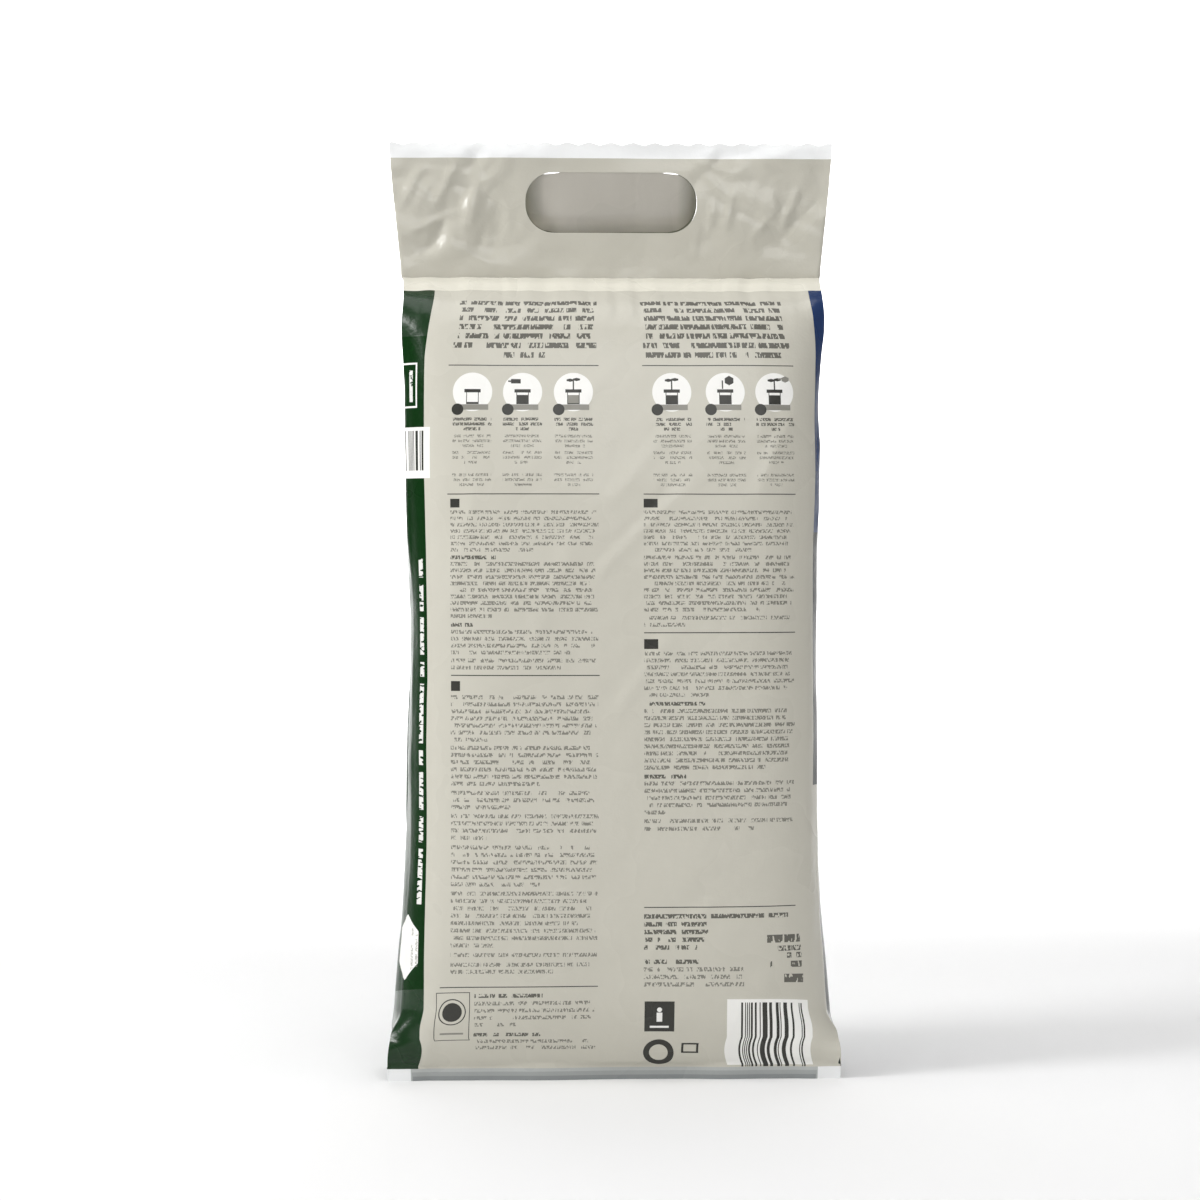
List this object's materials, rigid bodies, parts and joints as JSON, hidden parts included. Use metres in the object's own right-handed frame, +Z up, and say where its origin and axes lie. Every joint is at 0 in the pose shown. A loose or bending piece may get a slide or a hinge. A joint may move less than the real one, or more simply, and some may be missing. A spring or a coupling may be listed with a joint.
{
  "type": "compost bag",
  "caption": "Filled, sealed film bag of potting mix with folded sides, a flat header with a punched hand hole and a bottom seal.",
  "frame": {"origin": "on the floor, under the middle of the bag's bounding box", "axes": "+Z up, -Y towards the panel with the small print, +X to that panel's right"},
  "size_m": [0.238, 0.1262, 0.5],
  "materials": {
    "film": "satin printed polyethylene film"
  },
  "bodies": {
    "root": {"bag": "film"}
  },
  "joints": []
}
